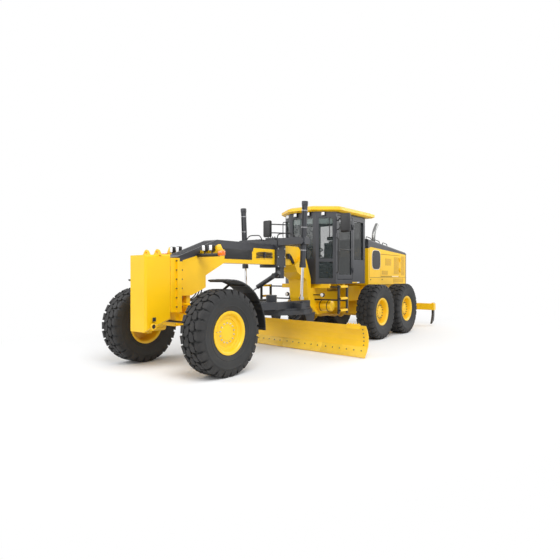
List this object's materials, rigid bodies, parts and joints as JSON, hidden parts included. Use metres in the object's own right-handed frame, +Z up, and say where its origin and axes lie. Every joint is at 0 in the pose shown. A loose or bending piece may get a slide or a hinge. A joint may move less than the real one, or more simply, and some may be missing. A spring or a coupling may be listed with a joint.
{
  "type": "motor grader",
  "caption": "Articulated motor grader with gooseneck frame, drawbar, turning circle and side-shifting blade, leaning front wheels, tandem drive, cab, nose weight and rear ripper.",
  "frame": {"origin": "on the ground under the centre of the bounding box", "axes": "+X forwards, +Y to the driver's left, +Z up"},
  "size_m": [10.109, 4.2631, 3.1505],
  "materials": {
    "yellow_paint": "semi-gloss",
    "charcoal_paint": "satin",
    "black_coat": "matte",
    "tyre_rubber": "matte",
    "rod_chrome": "polished",
    "bare_steel": "brushed",
    "seat_fabric": "woven"
  },
  "bodies": {
    "front_frame": {"front_frame": "yellow_paint", "counterweight": "yellow_paint", "front_axle": "yellow_paint", "saddle": "charcoal_paint", "cab_shell": "charcoal_paint", "cab_roof": "yellow_paint", "seat": "seat_fabric", "console": "black_coat", "ladder_left": "black_coat", "ladder_right": "black_coat"},
    "rear_frame": {"rear_frame": "yellow_paint", "tandem_case_left": "yellow_paint", "tandem_case_right": "yellow_paint", "hood": "yellow_paint", "engine": "bare_steel", "exhaust": "bare_steel"},
    "swing_block": {"swing_block": "bare_steel"},
    "drawbar": {"drawbar": "charcoal_paint"},
    "circle": {"circle": "charcoal_paint"},
    "tilt_rod": {"tilt_rod": "rod_chrome"},
    "blade_bracket": {"blade_bracket": "charcoal_paint"},
    "blade": {"blade": "yellow_paint"},
    "shift_cross": {"shift_cross": "bare_steel"},
    "shift_tube": {"shift_tube": "charcoal_paint"},
    "shift_rod": {"shift_rod": "rod_chrome"},
    "lean_bar": {"lean_bar": "yellow_paint"},
    "tie_rod": {"tie_rod": "black_coat"},
    "ripper_links": {"ripper_links": "yellow_paint"},
    "ripper_upper_links": {"ripper_upper_links": "yellow_paint"},
    "ripper_beam": {"ripper_beam": "yellow_paint"},
    "ripper_tube": {"ripper_tube": "charcoal_paint"},
    "ripper_rod": {"ripper_rod": "rod_chrome"},
    "rear_grille": {"rear_grille": "charcoal_paint"},
    "wheel_front_left": {"tyre_front_left": "tyre_rubber", "rim_front_left": "yellow_paint"},
    "wheel_front_right": {"tyre_front_right": "tyre_rubber", "rim_front_right": "yellow_paint"},
    "wheel_middle_left": {"tyre_middle_left": "tyre_rubber", "rim_middle_left": "yellow_paint"},
    "wheel_middle_right": {"tyre_middle_right": "tyre_rubber", "rim_middle_right": "yellow_paint"},
    "wheel_rear_left": {"tyre_rear_left": "tyre_rubber", "rim_rear_left": "yellow_paint"},
    "wheel_rear_right": {"tyre_rear_right": "tyre_rubber", "rim_rear_right": "yellow_paint"},
    "lean_yoke_left": {"lean_yoke_left": "yellow_paint"},
    "knuckle_left": {"knuckle_left": "yellow_paint", "fender_left": "black_coat"},
    "lean_yoke_right": {"lean_yoke_right": "yellow_paint"},
    "knuckle_right": {"knuckle_right": "yellow_paint", "fender_right": "black_coat"},
    "lift_tube_left": {"lift_tube_left": "charcoal_paint"},
    "lift_rod_left": {"lift_rod_left": "rod_chrome"},
    "cab_door_left": {"cab_door_left": "charcoal_paint"},
    "hood_door_left": {"hood_door_left": "yellow_paint"},
    "lift_tube_right": {"lift_tube_right": "charcoal_paint"},
    "lift_rod_right": {"lift_rod_right": "rod_chrome"},
    "cab_door_right": {"cab_door_right": "charcoal_paint"},
    "hood_door_right": {"hood_door_right": "yellow_paint"}
  },
  "joints": [
    {"name": "articulation", "type": "hinge", "parent": "front_frame", "child": "rear_frame", "pos_m": [-0.1555, 0, 1], "axis": [0, 0, 1], "range_deg": [-22, 22]},
    {"name": "front_left_wheel_turn", "type": "hinge", "parent": "knuckle_left", "child": "wheel_front_left", "pos_m": [4.2545, 1.03, 0.674], "axis": [0, 1, 0], "continuous": true},
    {"name": "front_right_wheel_turn", "type": "hinge", "parent": "knuckle_right", "child": "wheel_front_right", "pos_m": [4.2545, -1.03, 0.674], "axis": [0, 1, 0], "continuous": true},
    {"name": "middle_left_wheel_turn", "type": "hinge", "parent": "rear_frame", "child": "wheel_middle_left", "pos_m": [-1.1355, 1.03, 0.674], "axis": [0, 1, 0], "continuous": true},
    {"name": "middle_right_wheel_turn", "type": "hinge", "parent": "rear_frame", "child": "wheel_middle_right", "pos_m": [-1.1355, -1.03, 0.674], "axis": [0, 1, 0], "continuous": true},
    {"name": "rear_left_wheel_turn", "type": "hinge", "parent": "rear_frame", "child": "wheel_rear_left", "pos_m": [-2.6755, 1.03, 0.674], "axis": [0, 1, 0], "continuous": true},
    {"name": "rear_right_wheel_turn", "type": "hinge", "parent": "rear_frame", "child": "wheel_rear_right", "pos_m": [-2.6755, -1.03, 0.674], "axis": [0, 1, 0], "continuous": true},
    {"name": "wheel_lean_left", "type": "hinge", "parent": "front_frame", "child": "lean_yoke_left", "pos_m": [4.2545, 0.55, 0.66], "axis": [1, 0, 0], "range_deg": [-18, 18]},
    {"name": "steer_left", "type": "hinge", "parent": "lean_yoke_left", "child": "knuckle_left", "pos_m": [4.2545, 0.8, 0.674], "axis": [0, 0, 1], "range_deg": [-47, 47]},
    {"name": "wheel_lean_right", "type": "hinge", "parent": "front_frame", "child": "lean_yoke_right", "pos_m": [4.2545, -0.55, 0.66], "axis": [1, 0, 0], "range_deg": [-18, 18]},
    {"name": "steer_right", "type": "hinge", "parent": "lean_yoke_right", "child": "knuckle_right", "pos_m": [4.2545, -0.8, 0.674], "axis": [0, 0, 1], "range_deg": [-47, 47]},
    {"name": "lean_bar_slide", "type": "slide", "parent": "front_frame", "child": "lean_bar", "axis": [0, 1, 0], "range_m": [-0.13, 0.13]},
    {"name": "tie_rod_slide", "type": "slide", "parent": "front_frame", "child": "tie_rod", "axis": [0, 1, 0], "range_m": [-0.135, 0.135]},
    {"name": "drawbar_swing", "type": "hinge", "parent": "front_frame", "child": "swing_block", "pos_m": [3.7945, 0, 0.92], "axis": [0, 0, 1], "range_deg": [-12, 12]},
    {"name": "drawbar_lift", "type": "hinge", "parent": "swing_block", "child": "drawbar", "pos_m": [3.7945, 0, 0.92], "axis": [0, 1, 0], "range_deg": [-16, 11]},
    {"name": "circle_turn", "type": "hinge", "parent": "drawbar", "child": "circle", "pos_m": [1.5245, 0, 0.76], "axis": [0, 0, 1], "continuous": true},
    {"name": "blade_tilt", "type": "hinge", "parent": "circle", "child": "blade_bracket", "pos_m": [1.04216, 0.0507, 0.25], "axis": [0.1045, 0.9945, 0], "range_deg": [-5, 42]},
    {"name": "blade_sideshift", "type": "slide", "parent": "blade_bracket", "child": "blade", "axis": [-0.1045, -0.9945, 0], "range_m": [-0.68, 0.68]},
    {"name": "tilt_rod_slide", "type": "slide", "parent": "circle", "child": "tilt_rod", "axis": [0.8956, -0.0941, -0.4347], "range_m": [-0.03, 0.21]},
    {"name": "lift_tube_left_swing", "type": "hinge", "parent": "front_frame", "child": "lift_tube_left", "pos_m": [1.6845, 0.8, 2.26], "axis": [1, 0, 0], "range_deg": [-22, 22]},
    {"name": "lift_rod_left_slide", "type": "slide", "parent": "lift_tube_left", "child": "lift_rod_left", "axis": [0, 0.0431, 0.9991], "range_m": [-0.6, 0.42]},
    {"name": "lift_tube_right_swing", "type": "hinge", "parent": "front_frame", "child": "lift_tube_right", "pos_m": [1.6845, -0.8, 2.26], "axis": [1, 0, 0], "range_deg": [-22, 22]},
    {"name": "lift_rod_right_slide", "type": "slide", "parent": "lift_tube_right", "child": "lift_rod_right", "axis": [0, -0.0431, 0.9991], "range_m": [-0.6, 0.42]},
    {"name": "shift_cross_turn", "type": "hinge", "parent": "front_frame", "child": "shift_cross", "pos_m": [1.7445, 0.14, 1.56], "axis": [1, 0, 0], "range_deg": [-46, 46]},
    {"name": "shift_tube_turn", "type": "hinge", "parent": "shift_cross", "child": "shift_tube", "pos_m": [1.7445, 0.14, 1.56], "axis": [1, 0, 0], "range_deg": [-8, 8]},
    {"name": "shift_rod_slide", "type": "slide", "parent": "shift_tube", "child": "shift_rod", "axis": [0, -0.8852, -0.4653], "range_m": [-0.26, 0.26]},
    {"name": "ripper_lift", "type": "hinge", "parent": "rear_frame", "child": "ripper_links", "pos_m": [-4.2525, 0, 0.6], "axis": [0, 1, 0], "range_deg": [-25, 25]},
    {"name": "ripper_upper_turn", "type": "hinge", "parent": "rear_frame", "child": "ripper_upper_links", "pos_m": [-4.2525, 0, 0.9], "axis": [0, 1, 0], "range_deg": [-26, 26]},
    {"name": "ripper_beam_turn", "type": "hinge", "parent": "ripper_links", "child": "ripper_beam", "pos_m": [-4.7525, 0, 0.6], "axis": [0, 1, 0], "range_deg": [-26, 26]},
    {"name": "ripper_tube_turn", "type": "hinge", "parent": "rear_frame", "child": "ripper_tube", "pos_m": [-4.2525, 0, 1.2], "axis": [0, 1, 0], "range_deg": [-17, 17]},
    {"name": "ripper_rod_slide", "type": "slide", "parent": "ripper_tube", "child": "ripper_rod", "axis": [-0.8115, 0, -0.5843], "range_m": [-0.13, 0.13]},
    {"name": "cab_door_left_swing", "type": "hinge", "parent": "front_frame", "child": "cab_door_left", "pos_m": [-0.5095, 0.736, 1.47], "axis": [0, 0, 1], "range_deg": [0, 90]},
    {"name": "hood_door_left_swing", "type": "hinge", "parent": "rear_frame", "child": "hood_door_left", "pos_m": [-3.6195, 0.616, 1.54], "axis": [0, 0, 1], "range_deg": [0, 85]},
    {"name": "cab_door_right_swing", "type": "hinge", "parent": "front_frame", "child": "cab_door_right", "pos_m": [-0.5095, -0.736, 1.47], "axis": [0, 0, -1], "range_deg": [0, 90]},
    {"name": "hood_door_right_swing", "type": "hinge", "parent": "rear_frame", "child": "hood_door_right", "pos_m": [-3.6195, -0.616, 1.54], "axis": [0, 0, -1], "range_deg": [0, 85]},
    {"name": "rear_grille_swing", "type": "hinge", "parent": "rear_frame", "child": "rear_grille", "pos_m": [-4.1215, -0.534, 1.392], "axis": [0, 0, 1], "range_deg": [0, 100]}
  ],
  "couplings": [
    {"joint": "wheel_lean_right", "follows": "wheel_lean_left", "ratio": 1},
    {"joint": "steer_right", "follows": "steer_left", "ratio": 1},
    {"joint": "lean_bar_slide", "follows": "wheel_lean_left", "m_per_rad": -0.403},
    {"joint": "tie_rod_slide", "follows": "steer_left", "m_per_rad": 0.156},
    {"joint": "tilt_rod_slide", "follows": "blade_tilt", "m_per_rad": 0.26},
    {"joint": "lift_tube_left_swing", "follows": "drawbar_swing", "ratio": -1.63},
    {"joint": "lift_rod_left_slide", "follows": "drawbar_lift", "m_per_rad": 2.11},
    {"joint": "lift_tube_right_swing", "follows": "drawbar_swing", "ratio": -1.63},
    {"joint": "lift_rod_right_slide", "follows": "drawbar_lift", "m_per_rad": 2.11},
    {"joint": "shift_cross_turn", "follows": "drawbar_lift", "ratio": -2.8},
    {"joint": "shift_tube_turn", "follows": "drawbar_swing", "ratio": -0.6},
    {"joint": "shift_rod_slide", "follows": "drawbar_swing", "m_per_rad": 1.2},
    {"joint": "ripper_upper_turn", "follows": "ripper_lift", "ratio": 1},
    {"joint": "ripper_beam_turn", "follows": "ripper_lift", "ratio": -1},
    {"joint": "ripper_tube_turn", "follows": "ripper_lift", "ratio": 0.62},
    {"joint": "ripper_rod_slide", "follows": "ripper_lift", "m_per_rad": -0.25}
  ]
}
